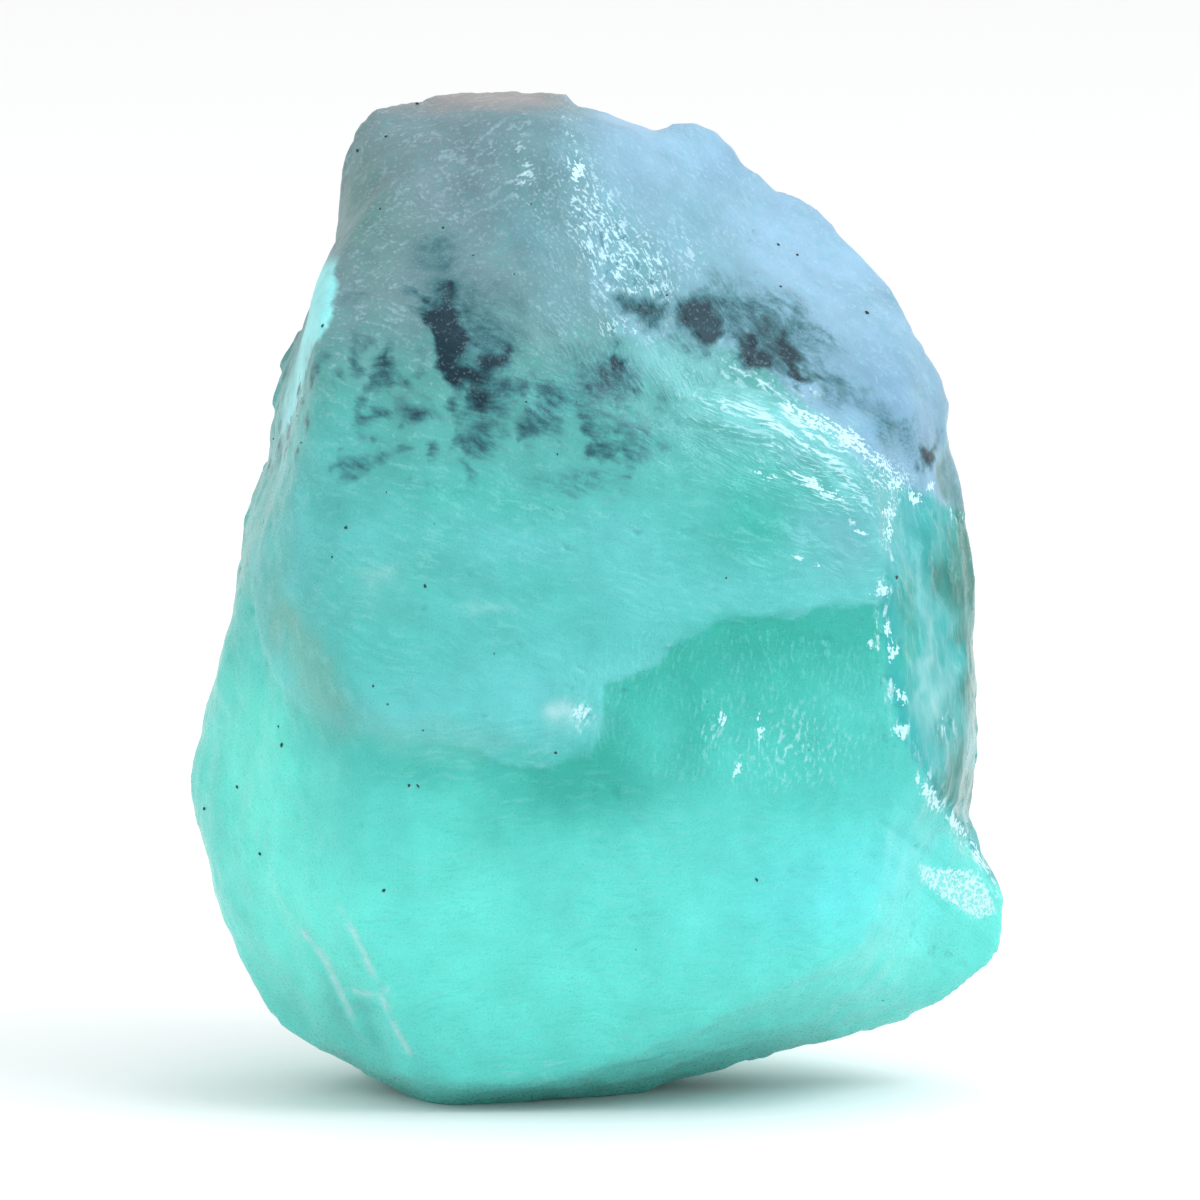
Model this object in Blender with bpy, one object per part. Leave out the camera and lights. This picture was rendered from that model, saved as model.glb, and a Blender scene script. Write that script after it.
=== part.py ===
"""Rough fluorite: one natural lump of translucent green stone that stands on a small flat spot.

The stone is described as seen from its front, in millimetres measured from a core point inside it:
right, up, and toward the viewer. Every ray from the core ends at the first thing that it meets: the
rim, a fracture facet or a hollow. The solid is then leaned back, cut flat where it stands, and set
down with its origin at the bottom centre of its box.
"""

import math

import bmesh
import bpy
import numpy as np
from mathutils import Matrix, Vector, noise

# Driving dimensions: lengths are in millimetres until MM turns them into metres
MM = 0.001
LEAN_BACK = math.radians(7.0)
BASE_LEVEL = -27.8

# Edges: the higher the number, the sharper they are
CRISP = 3.5
WORN = 0.9

# The outline is blurred over this many degrees where it has faded, this far from the rim
RIM_BLUR = 16.0
RIM_FADE = 6.0
RIM_WEAR = 0.25

# Broken surface: height and breadth of its swells and of its dents
SWELL_HEIGHT = 0.42
SWELL_BREADTH = 11.0
DENT_HEIGHT = 0.16
DENT_BREADTH = 3.6

# Mesh: how finely the ball is divided, how many triangles stay, and the smallest edge
SPHERE_SUBDIVISIONS = 7
FACE_COUNT = 8600
SMALLEST_EDGE = 0.05
GRAZING = 1e-3
NEVER = 1000.0

# Outline seen from the front, clockwise from the upper left corner: right, up
OUTLINE = (
    (-13.4, 28.9), (-12.5, 29.9), (-9.9, 30.2), (-5.9, 30.9), (-1.2, 30.4), (-0.5, 29.6),
    (0.8, 29.3), (4.0, 28.2), (6.4, 28.7), (7.8, 28.3), (8.7, 27.6), (9.2, 26.4),
    (11.1, 24.8), (13.2, 24.3), (15.5, 22.0), (17.8, 19.3), (19.2, 16.4), (20.9, 14.3),
    (21.5, 12.5), (21.1, 11.1), (21.1, 9.8), (22.2, 6.4), (23.0, 3.5), (22.7, -1.7),
    (23.0, -7.0), (22.4, -11.6), (23.2, -14.0), (25.1, -17.0), (24.6, -19.7), (22.1, -21.8),
    (19.5, -23.4), (16.0, -24.6), (10.0, -26.0), (5.1, -27.3), (3.4, -28.0), (-2.1, -28.4),
    (-7.6, -29.0), (-9.1, -28.8), (-10.3, -28.2), (-14.0, -26.3), (-17.6, -24.7), (-18.8, -23.6),
    (-19.7, -21.7), (-21.2, -18.2), (-22.2, -14.4), (-23.3, -9.6), (-22.7, -7.3), (-21.4, -3.1),
    (-20.4, 0.1), (-19.8, 4.9), (-18.6, 9.2), (-17.5, 14.9), (-15.1, 19.2), (-14.5, 20.8),
    (-14.4, 24.4), (-14.2, 25.9),
)

# Rim by direction: degrees anticlockwise from the right, how far toward the viewer the rim lies,
# and how much it narrows per millimetre in front of and behind that
RIM = (
    (0, 2.0, 0.15, 0.20),
    (40, 3.0, 0.20, 0.15),
    (75, 1.0, 0.25, 0.20),
    (105, 0.5, 0.30, 0.20),
    (135, 0.0, 0.15, 0.15),
    (155, -2.5, 0.15, 0.15),
    (180, 1.5, 0.15, 0.20),
    (205, 2.0, 0.15, 0.20),
    (235, 1.5, 0.20, 0.20),
    (255, 4.0, 0.20, 0.10),
    (275, 2.0, 0.30, 0.08),
    (300, 0.0, 0.40, 0.20),
    (325, 1.0, 0.60, 0.45),
    (345, 1.0, 0.20, 0.25),
)

# Worn front facets: right, up, height toward the viewer, and its change to the right and up
WORN_FRONT = (
    (-1.5, 0.9, 17.4, 0.03, -0.08),
    (3.0, 0.0, 17.4, -0.26, -0.12),
    (1.5, 16.4, 16.2, 0.14, -0.78),
    (-1.5, -13.9, 17.0, -0.05, 0.50),
    (14.0, -17.0, 14.5, -0.75, 0.35),
    (-15.1, -10.9, 15.2, 1.35, 0.05),
)

# Crisp front facets, in the same form
CRISP_FRONT = (
    (1.5, 16.4, 15.0, -0.62, -0.85),
    (8.7, 15.5, 11.6, -0.27, -0.46),
    (17.9, 3.3, 12.1, -2.00, -0.40),
    (-17.5, 8.0, 12.0, 2.20, -0.20),
    (2.7, -26.9, 9.5, -1.40, 4.80),
    (-14.4, -17.1, 14.8, 1.43, 1.17),
)

# Side and back facets: a point on each, and the direction that it faces
SIDE_FACETS = (
    ((23.0, 3.5, 1.5), (0.80, 0.08, -0.55)),
    ((18.3, 19.7, 2.5), (0.79, 0.61, -0.60)),
    ((-5.9, 31.4, 0.5), (-0.05, 0.90, -0.50)),
    ((-17.9, 15.0, -2.5), (-0.90, 0.25, -0.55)),
    ((-24.3, -9.8, 2.5), (-0.85, -0.25, -0.50)),
    ((19.8, -23.8, 0.0), (0.35, -0.80, -0.50)),
    ((-2.0, -28.0, -7.0), (-0.10, -0.60, -0.80)),
    ((0.0, 4.0, -15.5), (0.10, 0.12, -1.00)),
    ((-6.0, 0.0, -15.0), (-0.45, -0.05, -1.00)),
    ((4.0, 14.0, -13.5), (0.25, 0.60, -1.00)),
    ((9.0, -12.0, -12.5), (0.42, -0.35, -1.00)),
)

# Shell-like hollows left by flakes: centre and radius of each
HOLLOWS = (
    ((7.0, -4.0, -39.0), 26.0),
    ((-24.0, 10.0, -24.0), 17.0),
    ((27.5, 8.0, -14.0), 13.0),
)


def facet_distance(rays, point, direction):
    """Distance along each ray to a flat facet through a point."""
    facing = rays @ np.array(direction)
    offset = float(np.dot(point, direction))
    return np.where(facing > GRAZING, offset / np.maximum(facing, GRAZING), NEVER)


def front_distance(rays, facet):
    """Distance along each ray to a front facet, given as a height with two slopes."""
    right, up, height, slope_right, slope_up = facet
    return facet_distance(rays, (right, up, height), (-slope_right, -slope_up, 1.0))


def hollow_distance(rays, centre, radius):
    """Distance along each ray to where it enters a round hollow."""
    along = rays @ np.array(centre)
    inside = along * along - float(np.dot(centre, centre)) + radius * radius
    return np.where((inside > 0.0) & (along > 0.0), along - np.sqrt(np.maximum(inside, 0.0)), NEVER)


def rim_distance(rays):
    """Distance along each ray to the rim, whose outline softens away from its edge."""
    angle = np.degrees(np.arctan2(rays[:, 1], rays[:, 0]))
    across = np.hypot(rays[:, 0], rays[:, 1])
    toward = rays[:, 2]
    corners = np.array(OUTLINE)
    corner_angles = np.degrees(np.arctan2(corners[:, 1], corners[:, 0]))
    corner_radii = np.hypot(corners[:, 0], corners[:, 1]) + RIM_WEAR
    crisp = np.interp(angle, corner_angles, corner_radii, period=360)
    turned = [angle + turn for turn in np.linspace(-RIM_BLUR, RIM_BLUR, 9)]
    soft = np.mean([np.interp(each, corner_angles, corner_radii, period=360) for each in turned], axis=0)
    stations = np.array(RIM)
    level, front, back = (
        np.interp(angle, stations[:, 0], stations[:, column], period=360) for column in (1, 2, 3)
    )
    ahead = np.maximum(across + front * toward, GRAZING)
    behind = np.maximum(across - back * toward, GRAZING)
    distance = crisp
    for _ in range(6):
        away = np.clip(np.abs(distance * toward - level) / RIM_FADE, 0.0, 1.0)
        radius = crisp + (soft - crisp) * away
        distance = np.minimum((radius + front * level) / ahead, (radius - back * level) / behind)
    return distance


def nearest(hits, sharpness):
    """The first of several hits on each ray, with the edges between them rounded."""
    hits = np.array(hits)
    first = hits.min(axis=0)
    return first - np.log(np.exp(-sharpness * (hits - first)).sum(axis=0)) / sharpness


def stone_distance(rays):
    """Distance from the core to the stone's surface along each ray."""
    hits = [nearest([front_distance(rays, facet) for facet in WORN_FRONT], WORN)]
    hits += [front_distance(rays, facet) for facet in CRISP_FRONT]
    hits += [facet_distance(rays, point, direction) for point, direction in SIDE_FACETS]
    hits += [hollow_distance(rays, centre, radius) for centre, radius in HOLLOWS]
    hits.append(rim_distance(rays))
    return nearest(hits, CRISP)


def weathering(ray, distance):
    """Low swells and dents of a broken surface, in millimetres."""
    place = Vector(ray) * distance
    swell = noise.fractal(place / SWELL_BREADTH, 1.0, 2.0, 2)
    dent = noise.fractal(place / DENT_BREADTH + Vector((7.0, 0.0, 0.0)), 0.9, 2.1, 3)
    return SWELL_HEIGHT * swell + DENT_HEIGHT * dent


def shape_lump(stone):
    """Turns a fine ball into the lump, leaned back, with its core at the origin."""
    bmesh.ops.create_icosphere(stone, subdivisions=SPHERE_SUBDIVISIONS, radius=1.0)
    rays = np.array([vertex.co.normalized() for vertex in stone.verts])
    rays = rays[:, (0, 2, 1)] * (1.0, 1.0, -1.0)
    distances = stone_distance(rays)
    lean = Matrix.Rotation(-LEAN_BACK, 3, "X")
    for vertex, ray, distance in zip(stone.verts, rays, distances):
        reach = float(distance) + weathering(ray, float(distance))
        vertex.co = lean @ (vertex.co.normalized() * reach * MM)


def thin_faces(mesh):
    """A copy of a mesh with fewer, larger triangles where it is flat."""
    lump = bpy.data.objects.new("lump", mesh)
    bpy.context.scene.collection.objects.link(lump)
    decimate = lump.modifiers.new("decimate", "DECIMATE")
    decimate.ratio = FACE_COUNT / len(mesh.polygons)
    decimate.use_collapse_triangulate = True
    thinned = bpy.data.meshes.new_from_object(lump.evaluated_get(bpy.context.evaluated_depsgraph_get()))
    bpy.data.objects.remove(lump)
    return thinned


def cut_base(stone):
    """Cuts the lump flat at the level that it stands on, and closes the cut."""
    everything = stone.verts[:] + stone.edges[:] + stone.faces[:]
    level = Vector((0.0, 0.0, BASE_LEVEL * MM))
    bmesh.ops.bisect_plane(stone, geom=everything, plane_co=level, plane_no=(0, 0, -1), clear_outer=True)
    for vertex in stone.verts:
        if abs(vertex.co.z - level.z) < SMALLEST_EDGE * MM / 2.0:
            vertex.co.z = level.z
    bmesh.ops.dissolve_degenerate(stone, dist=SMALLEST_EDGE * MM, edges=stone.edges[:])
    open_edges = [edge for edge in stone.edges if edge.is_boundary]
    bmesh.ops.edgeloop_fill(stone, edges=open_edges)
    bmesh.ops.triangulate(stone, faces=[face for face in stone.faces if len(face.verts) > 4])
    bmesh.ops.recalc_face_normals(stone, faces=stone.faces[:])


def set_down(stone):
    """Moves the stone so that its origin is at the bottom centre of its box."""
    corners = np.array([vertex.co for vertex in stone.verts])
    middle = (corners.min(axis=0) + corners.max(axis=0)) / 2.0
    shift = Vector((-middle[0], -middle[1], -corners[:, 2].min()))
    bmesh.ops.translate(stone, verts=stone.verts[:], vec=shift)


def fluorite_material():
    """Pale green, translucent and a little glossy."""
    material = bpy.data.materials.new("fluorite")
    material.use_nodes = True
    surface = material.node_tree.nodes["Principled BSDF"]
    surface.inputs["Base Color"].default_value = (0.14, 0.65, 0.56, 1.0)
    surface.inputs["Roughness"].default_value = 0.25
    surface.inputs["Metallic"].default_value = 0.0
    return material


def build_stone():
    """The whole stone as one object."""
    mesh = bpy.data.meshes.new("fluorite")
    stone = bmesh.new()
    shape_lump(stone)
    stone.to_mesh(mesh)
    stone.clear()
    mesh = thin_faces(mesh)
    stone.from_mesh(mesh)
    cut_base(stone)
    set_down(stone)
    stone.to_mesh(mesh)
    stone.free()
    mesh.shade_smooth()
    mesh.materials.append(fluorite_material())
    return bpy.data.objects.new("fluorite", mesh)


def main():
    for old in list(bpy.data.objects):
        bpy.data.objects.remove(old)
    bpy.context.scene.collection.objects.link(build_stone())


main()
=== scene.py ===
"""Looks of the rough fluorite: its fine broken surface, its colours and what is sealed in it.

The stone is described as seen from its front, in millimetres from a core point inside it: right, up
and toward the viewer. Its large shape repeats the part's own: every ray from the core ends at the
first thing that it meets, the rim, a fracture facet or a hollow. The fine surface is added to that.
"""

import math
from itertools import product

import bmesh
import bpy
import numpy as np
from mathutils import Matrix, Vector, kdtree, noise


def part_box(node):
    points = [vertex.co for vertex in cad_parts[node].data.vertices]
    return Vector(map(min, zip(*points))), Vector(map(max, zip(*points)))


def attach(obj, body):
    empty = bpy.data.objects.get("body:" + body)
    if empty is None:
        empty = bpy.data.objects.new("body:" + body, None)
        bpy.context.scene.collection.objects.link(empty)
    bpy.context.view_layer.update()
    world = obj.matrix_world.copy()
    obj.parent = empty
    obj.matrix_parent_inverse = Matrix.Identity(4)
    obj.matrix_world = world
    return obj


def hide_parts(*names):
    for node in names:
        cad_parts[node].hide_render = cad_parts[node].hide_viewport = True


# Driving dimensions: lengths are in millimetres until MM turns them into metres
MM = 0.001
LEAN_BACK = math.radians(7.0)
BASE_LEVEL = -27.8

# Edges: the higher the number, the sharper they are
CRISP = 3.5
WORN = 0.9

# The outline is blurred over this many degrees where it has faded, this far from the rim
RIM_BLUR = 16.0
RIM_FADE = 6.0
RIM_WEAR = 0.25

# Swells and dents of the large shape
SWELL_HEIGHT = 0.42
SWELL_BREADTH = 11.0
DENT_HEIGHT = 0.16
DENT_BREADTH = 3.6

# Mesh: how finely the ball is divided, how much closer its points lie at the front, and its triangles
SPHERE_SUBDIVISIONS = 8
FRONT_DENSITY = 0.42
FACE_COUNT = 190000
SMALLEST_EDGE = 0.01
SHARP_ANGLE = math.radians(38.0)
GRAZING = 1e-3
NEVER = 1000.0
FAR = 100.0

# Outline seen from the front, clockwise from the upper left corner: right, up
OUTLINE = (
    (-13.4, 28.9), (-12.5, 29.9), (-9.9, 30.2), (-5.9, 30.9), (-1.2, 30.4), (-0.5, 29.6),
    (0.8, 29.3), (4, 28.2), (6.4, 28.7), (7.8, 28.3), (8.7, 27.6), (9.2, 26.4),
    (11.1, 24.8), (13.2, 24.3), (15.5, 22), (17.8, 19.3), (19.2, 16.4), (20.9, 14.3),
    (21.5, 12.5), (21.1, 11.1), (21.1, 9.8), (22.2, 6.4), (23, 3.5), (22.7, -1.7),
    (23, -7), (22.4, -11.6), (23.2, -14), (25.1, -17), (24.6, -19.7), (22.1, -21.8),
    (19.5, -23.4), (16, -24.6), (10, -26), (5.1, -27.3), (3.4, -28), (-2.1, -28.4),
    (-7.6, -29), (-9.1, -28.8), (-10.3, -28.2), (-14, -26.3), (-17.6, -24.7), (-18.8, -23.6),
    (-19.7, -21.7), (-21.2, -18.2), (-22.2, -14.4), (-23.3, -9.6), (-22.7, -7.3), (-21.4, -3.1),
    (-20.4, 0.1), (-19.8, 4.9), (-18.6, 9.2), (-17.5, 14.9), (-15.1, 19.2), (-14.5, 20.8),
    (-14.4, 24.4), (-14.2, 25.9),
)

# Rim by direction: degrees anticlockwise from the right, how far toward the viewer the rim lies,
# and how much it narrows per millimetre in front of and behind that
RIM = (
    (0, 2, 0.15, 0.2), (40, 3, 0.2, 0.15), (75, 1, 0.25, 0.2), (105, 0.5, 0.3, 0.2),
    (135, 0, 0.15, 0.15), (155, -2.5, 0.15, 0.15), (180, 1.5, 0.15, 0.2), (205, 2, 0.15, 0.2),
    (235, 1.5, 0.2, 0.2), (255, 4, 0.2, 0.1), (275, 2, 0.3, 0.08), (300, 0, 0.4, 0.2),
    (325, 1, 0.6, 0.45), (345, 1, 0.2, 0.25),
)

# Worn front facets: right, up, height toward the viewer, and its change to the right and up
WORN_FRONT = (
    (-1.5, 0.9, 17.4, 0.03, -0.08), (3, 0, 17.4, -0.26, -0.12), (1.5, 16.4, 16.2, 0.14, -0.78),
    (-1.5, -13.9, 17, -0.05, 0.5), (14, -17, 14.5, -0.75, 0.35), (-15.1, -10.9, 15.2, 1.35, 0.05),
)

# Crisp front facets, in the same form
CRISP_FRONT = (
    (1.5, 16.4, 15, -0.62, -0.85), (8.7, 15.5, 11.6, -0.27, -0.46), (17.9, 3.3, 12.1, -2.00, -0.4),
    (-17.5, 8, 12, 2.2, -0.2), (2.7, -26.9, 9.5, -1.4, 4.8), (-14.4, -17.1, 14.8, 1.43, 1.17),
)

# Side and back facets: a point on each, and the direction that it faces
SIDE_FACETS = (
    ((23, 3.5, 1.5), (0.80, 0.08, -0.55)),
    ((18.3, 19.7, 2.5), (0.79, 0.61, -0.60)),
    ((-5.9, 31.4, 0.5), (-0.05, 0.90, -0.50)),
    ((-17.9, 15, -2.5), (-0.90, 0.25, -0.55)),
    ((-24.3, -9.8, 2.5), (-0.85, -0.25, -0.50)),
    ((19.8, -23.8, 0), (0.35, -0.80, -0.50)),
    ((-2, -28, -7), (-0.10, -0.60, -0.80)),
    ((0, 4, -15.5), (0.10, 0.12, -1.00)),
    ((-6, 0, -15), (-0.45, -0.05, -1.00)),
    ((4, 14, -13.5), (0.25, 0.60, -1.00)),
    ((9, -12, -12.5), (0.42, -0.35, -1.00)),
)

# Shell-like hollows left by flakes: centre and radius of each
HOLLOWS = (
    ((7, -4, -39), 26),
    ((-24, 10, -24), 17),
    ((27.5, 8, -14), 13),
)

# Lines on the front: right, up. What each one bounds lies on its left
CAP_RIDGE = ((1.6, 14.5), (1.5, 16.4), (0.95, 18.9), (0.2, 22.2), (-0.5, 24.6), (-0.95, 26.2), (-0.8, 30.5))
FLOW_RIDGE = (
    (1.5, 16.4), (5.6, 16.3), (8.7, 15.5), (10, 14.7), (11.5, 13.6), (12.7, 12.2),
    (14, 11.1), (15.3, 9.5), (16, 8.7), (18.7, 7.75), (22.5, 5.6),
)
SLAB_EDGE = (
    (-19.6, 2.4), (-19.4, 1), (-19.2, -0.6), (-18.8, -2.6), (-17.6, -4.2), (-16.6, -5.4), (-14.2, -6.5),
    (-11, -7.2), (-7.6, -7.5), (-6.5, -7.7), (-5.4, -8.4), (-3.6, -8.9), (-1.9, -8.9), (-1, -8.4),
    (0.4, -8.5), (0.9, -6.6), (1.2, -4.1), (2.8, -3.4), (3.6, -3.2), (5.4, -1.5), (8.5, -0.1),
    (10, -0.2), (11.7, -0.2), (13.6, 0.4), (14.6, 0.6), (16.8, 0.7), (19, 0.9),
)
RIGHT_RIDGE = (
    (25.2, -17.2), (22.2, -13.1), (19.9, -9.5), (18.4, -6.8), (17.6, -3), (17.3, -0.5),
    (17.5, 3), (17.9, 5), (18.9, 7.6),
)
SLIVER_LINE = (
    (-18.4, 9.6), (-17, 11.5), (-16.5, 12.8), (-16.2, 14.9), (-15.4, 15.9), (-14.6, 17.8), (-14.4, 20.9),
)
BRIGHT_CHIP = (
    (19.6, -14.6), (19.8, -15.6), (21.1, -16.7), (23, -17.9), (24.3, -17.6), (23.8, -16.3),
    (23, -15.1), (20.6, -14.9),
)
FLAW_LINES = (
    ((-14.4, -17.1), (-13.3, -18.8), (-12.1, -21.7), (-11, -24.4), (-9.9, -26.2)),
    ((-16.5, -18.6), (-15.1, -20.3), (-13.8, -23.3)),
    ((-15.6, -19.6), (-14.6, -21.6), (-13.7, -23.6)),
    ((-13.9, -21.8), (-12.9, -22.2), (-11.6, -21.9)),
)

# Smoky inclusions on the front: right, up, half width, half height, tilt in degrees, darkness
SMOKE = (
    (-8, 16.3, 1.1, 2.9, 17, 1.15), (-7.9, 18.6, 1.5, 1.5, 20, 0.75), (-9.6, 18.4, 0.9, 0.35, -35, 0.8),
    (-8.5, 20.8, 1.2, 1.5, 8, 0.42), (-5.2, 14.4, 0.9, 1.1, -10, 0.95), (-6.4, 13.6, 1.7, 1.2, -25, 1),
    (-6, 16.9, 1.9, 2.2, 0, 0.5), (-6.3, 12.5, 2, 1.2, -20, 0.7), (-5.8, 10.6, 1.4, 1.4, 0, 0.52),
    (-11.6, 14.7, 0.55, 1.5, 6, 0.62), (-13.3, 15.5, 0.45, 0.9, 0, 0.42), (-13.4, 18.3, 1, 0.45, 0, 0.4),
    (-9.5, 11.9, 1.4, 0.8, -15, 0.55), (-12.7, 11.3, 1.5, 0.9, 20, 0.36), (-12.3, 9.2, 0.7, 0.45, 20, 0.48),
    (-14.1, 8.8, 0.8, 0.45, 0, 0.42), (1.1, 13.8, 1.8, 1.4, 0, 0.58), (2, 14.6, 0.6, 0.8, 10, 0.9),
    (-0.1, 13.2, 0.5, 0.4, 0, 0.7), (-2.3, 11.3, 2.2, 1.3, -10, 0.4), (2, 10.7, 2.4, 1.5, -20, 0.34),
    (-0.5, 7.8, 3.8, 1.2, -8, 0.24), (-6.6, 15.6, 3.4, 3.8, 10, 0.44), (0.6, 13.6, 3, 2.4, 0, 0.42),
    (-8.6, 20.6, 2.4, 2.6, 0, 0.24), (7, 17.3, 1.7, 1.6, 20, 0.9), (7.1, 16.2, 1.2, 0.55, -8, 1),
    (3, 17.8, 1.8, 1, -20, 0.62), (10, 15.6, 2.1, 1, -32, 1), (12.1, 15.4, 1.3, 1, -10, 0.92),
    (12.3, 14.3, 1.3, 0.45, -36, 1), (10.4, 16.8, 4.2, 2.1, -30, 0.6), (14.6, 13.6, 2.6, 1.2, -34, 0.42),
    (18, 11, 2.8, 1.3, -35, 0.3), (20.4, 9.2, 0.45, 1.15, -12, 1),
)

# Places where the surface is splintered: right, up, half width, half height, tilt in degrees, amount
SPLINTERS = (
    (-0.4, 25.9, 0.7, 1.6, 10, 1), (-3.5, 25.8, 0.9, 2.8, 14, 0.55), (1.4, 21.4, 1.7, 5.2, 22, 0.95),
    (4, 19.8, 1.5, 3.4, 28, 0.8), (6.2, 21, 1.2, 3, 26, 0.38), (3.4, 17, 2.4, 0.9, -5, 0.6),
    (9.8, 14.2, 3.4, 0.9, -32, 0.55), (13, 13.4, 1.6, 0.7, -36, 0.75), (18.4, 8, 1.6, 0.8, -38, 0.85),
    (21.1, -6.6, 0.7, 0.8, 0, 0.8), (12.2, -7.6, 4.6, 3, 0, 0.4), (7.4, -6.6, 1, 2, 0, 0.42),
    (-0.2, -6, 0.9, 1.2, -30, 0.5), (-3, -26.6, 3, 0.8, 5, 0.35), (22.4, -16.2, 2.2, 1, -32, 0.55),
)

# The same along lines: the line, half width, amount
SPLINTERED_LINES = (
    (CAP_RIDGE, 0.60, 0.95),
    (FLOW_RIDGE, 0.45, 0.60),
    (RIGHT_RIDGE, 0.50, 0.95),
)

# Glints, painted as highlights in the colour: right, up, half width, half height, tilt in degrees
GLINTS = (
    (10.5, 8.2, 0.7, 0.16, -10), (13.6, 7.5, 1.6, 0.32, -26), (15.8, 5.2, 0.9, 0.2, -42),
    (12.4, 3.3, 0.3, 0.16, -10), (13.6, 3.1, 0.35, 0.16, -10), (15.4, 10.3, 2.2, 0.55, -36),
    (13.2, 11.4, 1.7, 0.3, -34), (17.3, 8.9, 1.1, 0.45, -42), (18.2, 7.7, 0.5, 0.4, 0),
    (19.5, 6.9, 0.45, 0.42, 0), (20.3, 7.6, 0.35, 0.25, 40), (17.7, 4.8, 0.24, 0.62, 0),
    (17.8, 6.1, 0.4, 0.5, 0), (17.3, 1.5, 0.5, 0.45, 20), (17.7, -0.9, 0.3, 0.5, 10),
    (17.9, -2.1, 0.35, 0.6, 0), (16.6, -1.7, 0.6, 0.18, -30), (18.4, -4.7, 0.28, 0.6, 15),
    (18.3, -6.7, 0.5, 0.45, 0), (20.1, -10.4, 0.4, 1.3, 36), (21.9, -12.4, 0.34, 0.95, 40),
    (23.4, -14.4, 0.3, 1.1, 36), (10.2, -6.6, 0.16, 0.8, 0), (9, -8.9, 0.3, 0.7, -20),
    (7.9, -6, 0.35, 0.35, 0), (-0.4, 25.9, 0.4, 0.9, 6), (-0.2, -5.6, 0.6, 0.35, 25),
)

# Noise, the mesh points in each chip, and how many shallow breaks there are, how broad and how deep
SHUFFLE_SEED = 11
CHIP_POINTS = 12
BREAK_COUNT = 1500
BREAK_BREADTH = 1.3
BREAK_DEPTH = 0.07

# Heights and depths of the rest of the fine surface
SLAB_RISE = 0.20
SCOOP_DEPTH = 0.35
RIPPLE_HEIGHT = 0.07
HOLLOW_RIPPLE_HEIGHT = 0.06
TERRACE_HEIGHT = 0.30
PIT_DEPTH = 0.16
ROUGHNESS_HEIGHT = 0.035

# Cracks: their depth, half the width of their groove, and half the width of their light line
CRACK_DEPTH = 0.10
CRACK_GROOVE = 0.16
CRACK_LINE = 0.17

# The ripples' middle on the front, the distance from one to the next, and how the highlights painted on
# their crests lag
FLOW_CENTRE = (3.3, -4.4)
RIPPLE_LENGTH = 1.15
CREST_SHIFT = 0.9
HOLLOW_RIPPLE_LENGTH = 1.9

# Where highlights are painted on the ripples' crests: right, up, half width, half height, tilt in degrees,
# amount
CREST_HIGHLIGHTS = (
    (14.2, 10.4, 4.4, 1.9, -33, 1), (10.2, 11.6, 4.2, 1.6, -14, 0.75), (13.6, 7.2, 3.2, 1.1, -26, 0.55),
    (17.2, 7.4, 2.2, 1.4, -36, 0.55), (5, 13, 3.4, 1.6, -18, 0.3),
)

# The darkest inclusion ends sharply at this line, on the line's left
SMOKE_BORDER = ((-10.9, 18.6), (-9.5, 17.2), (-8.8, 16.8), (-8.5, 15.1), (-8.1, 13.6), (-7.2, 12.3))

# Dim patches beside the cracks: right, up, half width, half height, tilt
FLAW_SHADES = (
    (-14.6, -23, 0.6, 2, 22),
    (-13, -22.9, 1.1, 0.6, 0),
    (-12.4, -24.8, 0.5, 1.6, 20),
)

# The chip's depth and the bend of edges are kept between this and its negative
FIELD_LIMIT = 2.0

# How streaks run on each part of the front: right, up, half width, half height, their angle in
# degrees, and their length and width
STREAK_ZONES = (
    (2.5, 21.5, 6, 8, -63, 0.90, 0.20),
    (14.5, 16.5, 6, 5.5, -40, 0.90, 0.40),
    (13, 9.6, 6.5, 4, -22, 1.20, 0.17),
    (8, 3.2, 8, 3.6, -12, 1.50, 0.30),
    (-8, 8, 11, 9, -18, 1.30, 0.34),
    (-9, 25, 6, 5.5, 25, 0.80, 0.45),
    (8.5, -6, 8, 5, 80, 0.60, 0.20),
    (0, -18, 20, 9, 5, 1.40, 0.32),
    (-18, -13, 4.5, 11, -64, 1.40, 0.40),
    (21, -1, 3, 11, 87, 2.60, 0.42),
    (22, -16.5, 3.5, 3.5, -42, 0.60, 0.20),
)


def facet_distance(rays, point, direction):
    """Distance along each ray to a flat facet through a point."""
    facing = rays @ np.array(direction)
    offset = float(np.dot(point, direction))
    return np.where(facing > GRAZING, offset / np.maximum(facing, GRAZING), NEVER)


def front_distance(rays, facet):
    """Distance along each ray to a front facet, given as a height with two slopes."""
    right, up, height, slope_right, slope_up = facet
    return facet_distance(rays, (right, up, height), (-slope_right, -slope_up, 1.0))


def hollow_distance(rays, centre, radius):
    """Distance along each ray to where it enters a round hollow."""
    along = rays @ np.array(centre)
    inside = along * along - float(np.dot(centre, centre)) + radius * radius
    return np.where((inside > 0.0) & (along > 0.0), along - np.sqrt(np.maximum(inside, 0.0)), NEVER)


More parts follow.
